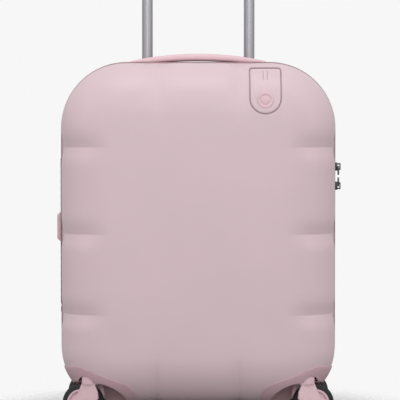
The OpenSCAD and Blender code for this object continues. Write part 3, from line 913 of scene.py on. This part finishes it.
def tyre_profile(sign):
    """Tyre with round shoulders and a groove round its tread."""
    r = TYRE_R
    inner = arc(r - 3, 4, 3, -90, 0, 6)
    outer = arc(r - 3, 8, 3, 0, 90, 6)
    tread = [(r, 4.8), (r - 0.5, 5.3), (r - 0.5, 6.7), (r, 7.2)]
    return [(p, sign * h) for p, h in [(21.55, 1), *inner, *tread, *outer, (21.55, 11)]]


def hub_profile(sign):
    """Hub with a raised rim, a dished face and a boss round the axle."""
    face = [(3.05, 1), (21.5, 1), (21.5, 10.6), (21.1, 11), (18.9, 11), (18.5, 10.6), (18.1, 8.9),
            (17.6, 8.5), (14.2, 8.2), (12.5, 8.9), (11, 9.2), (8.6, 8.6), (8.2, 8.9), (8.0, 10.6), (7.6, 11),
            (3.05, 11)]
    return [(r, sign * h) for r, h in face]


def build_casters():
    for end in ("front", "rear"):
        for side in ("left", "right"):
            name = end + "_" + side
            centre, axis = wheel_frame(name)
            tyres = join("tyres_" + name + "_finished",
                         *[wheel_lathe("tyre", tyre_profile(s), centre, axis) for s in (-1, 1)])
            dress(tyres, TYRE, 0, 1, 40)
            place(tyres, "wheels_" + name, "tyres_" + name)
            sleeve = wheel_lathe("sleeve", [(3.05, -1.2), (7, -1.2), (7, 1.2), (3.05, 1.2)], centre, axis)
            hubs = join("hubs_" + name + "_finished",
                        *[wheel_lathe("hub", hub_profile(s), centre, axis) for s in (-1, 1)], sleeve)
            dress(hubs, COVER, 0, 1, 40)
            place(hubs, "wheels_" + name, "hubs_" + name)
            softened("fork_" + name, COVER, 1.4, 3)
            softened("axle_" + name, STEEL, 0.3)


# ---- CAD nodes that keep their shape ---------------------------------------

def build_fittings():
    for name, material, bevel in (
            ("handle_bezel", HOUSING, 0.6), ("handle_tray", HOUSING, 0.6), ("side_handle_cup", HOUSING, 0.6),
            ("lock_body", COVER, 0.7), ("lock_release", GUNMETAL, 0.3), ("back_skids", GUARD, 0.7),
            ("strap_buckle", BLACK, 1.2), ("tube_feet", BLACK, 1.0), ("pull_grip", GRIP, 0.8),
            ("grip_button", COVER, 1.0), ("release_rods", STEEL, 0.2), ("zip_end_stop", GUNMETAL, 0.4),
            ("upper_zip_slider", GUNMETAL, 1.3), ("lower_zip_slider", GUNMETAL, 1.3),
            ("upper_zip_puller", GUNMETAL, 0.4), ("lower_zip_puller", GUNMETAL, 0.4),
            ("lock_dial_1", DIAL, 0.3), ("lock_dial_2", DIAL, 0.3), ("lock_dial_3", DIAL, 0.3),
            ("swivel_bearings_front", BUSH, 0.3), ("swivel_bearings_rear", BUSH, 0.3),
            ("outer_tubes", TUBE_DARK, 0.2), ("middle_tubes", TUBE, 0.25), ("inner_tubes", TUBE, 0.2)):
        softened(name, material, bevel)


# ---- Stage, light and camera ----------------------------------------------

VIEW_WIDTH = 0.586
CAMERA_DISTANCE = 3.0
CAMERA_HEIGHT = 0.43
TARGET = Vector((0.0026, 0.0, 0.319))
BACKDROP = 0.93
LIGHTS = (("top_softbox", (0, -1.3, 2.4), (0, 0, 0.42), (1.8, 1.2), 13),
          ("front_fill", (0, -3.4, 1.1), (0, 0, 0.3), (2.0, 1.4), 20),
          ("left_strip", (-1.9, -1.6, 1.2), (0, 0, 0.3), (0.5, 1.6), 3.5),
          ("right_strip", (1.9, -1.6, 1.2), (0, 0, 0.3), (0.5, 1.6), 4.5))


def build_camera():
    data = bpy.data.cameras.new("camera")
    cam = bpy.data.objects.new("camera", data)
    bpy.context.scene.collection.objects.link(cam)
    cam.location = (TARGET.x, -CAMERA_DISTANCE, CAMERA_HEIGHT)
    look = TARGET - cam.location
    cam.rotation_euler = look.to_track_quat("-Z", "Y").to_euler()
    data.sensor_width = 36
    data.lens = data.sensor_width * look.length / VIEW_WIDTH
    bpy.context.scene.camera = cam


def add_light(name, location, target, size, power):
    data = bpy.data.lights.new(name, "AREA")
    data.shape = "RECTANGLE"
    data.size, data.size_y = size
    data.energy = power
    lamp = bpy.data.objects.new(name, data)
    lamp.location = location
    lamp.rotation_euler = (Vector(target) - Vector(location)).to_track_quat("-Z", "Y").to_euler()
    bpy.context.scene.collection.objects.link(lamp)


def build_world():
    """Pale seamless backdrop; as light it is bright above and dim below, like a lit studio."""
    world = bpy.data.worlds.new("world")
    world.use_nodes = True
    tree = world.node_tree
    seen = tree.nodes["Background"]
    seen.inputs["Color"].default_value = (BACKDROP, BACKDROP, BACKDROP, 1)
    coords = node(tree, "ShaderNodeTexCoord")
    split = node(tree, "ShaderNodeSeparateXYZ")
    spread = node(tree, "ShaderNodeMapRange", interpolation_type="SMOOTHSTEP")
    spread.inputs["From Min"].default_value = -0.6
    spread.inputs["From Max"].default_value = 0.7
    spread.inputs["To Min"].default_value = 0.45
    spread.inputs["To Max"].default_value = 1.05
    light = node(tree, "ShaderNodeBackground")
    ray = node(tree, "ShaderNodeLightPath")
    mix = node(tree, "ShaderNodeMixShader")
    links = tree.links
    links.new(coords.outputs["Generated"], split.inputs["Vector"])
    links.new(split.outputs["Z"], spread.inputs["Value"])
    links.new(spread.outputs["Result"], light.inputs["Strength"])
    links.new(ray.outputs["Is Camera Ray"], mix.inputs["Fac"])
    links.new(light.outputs["Background"], mix.inputs[1])
    links.new(seen.outputs["Background"], mix.inputs[2])
    links.new(mix.outputs["Shader"], tree.nodes["World Output"].inputs["Surface"])
    bpy.context.scene.world = world


def floor_material():
    """Pale floor that takes the case's shadow and fades into the backdrop round it."""
    mat, tree, shader = new_material("floor_pale", (0.86, 0.86, 0.86), 0.9)
    ray = node(tree, "ShaderNodeLightPath")
    tone = node(tree, "ShaderNodeMapRange")
    tone.inputs["To Min"].default_value = 0.22
    tone.inputs["To Max"].default_value = 0.90
    tree.links.new(ray.outputs["Is Camera Ray"], tone.inputs["Value"])
    tree.links.new(tone.outputs["Result"], shader.inputs["Base Color"])
    reach = node(tree, "ShaderNodeVectorMath", operation="LENGTH")
    tree.links.new(position(tree), reach.inputs[0])
    fade = node(tree, "ShaderNodeMapRange", interpolation_type="SMOOTHSTEP")
    fade.inputs["From Min"].default_value = 0.20
    fade.inputs["From Max"].default_value = 0.42
    fade.inputs["To Min"].default_value = 1.0
    fade.inputs["To Max"].default_value = 0.0
    tree.links.new(reach.outputs["Value"], fade.inputs["Value"])
    tree.links.new(fade.outputs["Result"], shader.inputs["Alpha"])
    return mat


def build_stage():
    floor = lathe("floor", [(NEAR_AXIS, -1), (FLOOR_R, -1), (FLOOR_R, 0), (NEAR_AXIS, 0)], 96, (0, 0, 0))
    floor.data.materials.append(floor_material())
    build_world()
    bpy.context.scene.view_settings.view_transform = "Standard"
    for light in LIGHTS:
        add_light(*light)


build_camera()
build_stage()
build_front_shell()
build_rear_shell()
build_guards()
build_zip()
build_hinge_web()
build_tag()
build_top_handle()
build_side_handle()
build_lining("front_lining_cloth", "front_lining", "lid", -1, DEPTH, ROLL_R, ROLL_REACH)
build_lining("rear_lining_cloth", "rear_lining", "case", 1, *REAR_LINING_FORM)
build_straps()
build_casters()
build_fittings()
